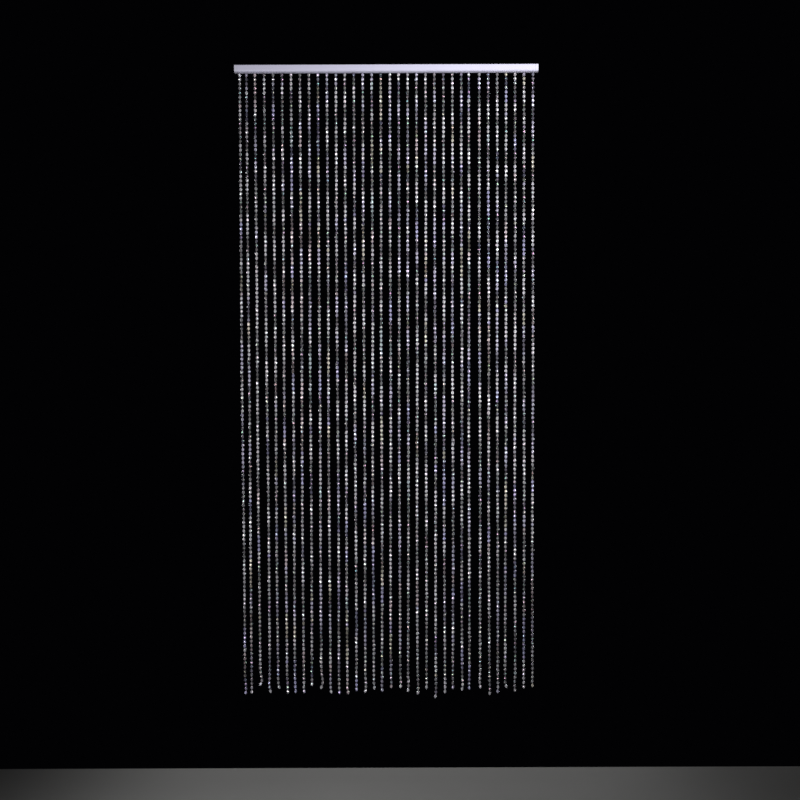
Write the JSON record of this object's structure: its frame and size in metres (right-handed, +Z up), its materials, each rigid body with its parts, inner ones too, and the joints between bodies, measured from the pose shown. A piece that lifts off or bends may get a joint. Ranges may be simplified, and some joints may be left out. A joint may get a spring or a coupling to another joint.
{
  "type": "bead curtain with header rail",
  "caption": "Doorway bead curtain: close-set strings of clear diamond-cut beads hanging to uneven free ends from a slotted white header rail with end caps.",
  "frame": {"origin": "centre of the header rail's flat back face, which meets the wall or lintel", "axes": "+Z up, +Y out of the rail's back towards the wall, +X along the rail to the right as seen from the room; the strings hang down -Z"},
  "size_m": [1.306, 0.032, 2.7583],
  "materials": {
    "powder_coat": "satin white powder coat on extruded aluminium",
    "cap_plastic": "fine moulded texture",
    "clear_acrylic": "clear, polished facets with a faint iridescent coating"
  },
  "bodies": {
    "root": {"header_rail": "powder_coat", "end_cap_left": "cap_plastic", "end_cap_right": "cap_plastic", "bead_strands": "clear_acrylic"}
  },
  "joints": []
}
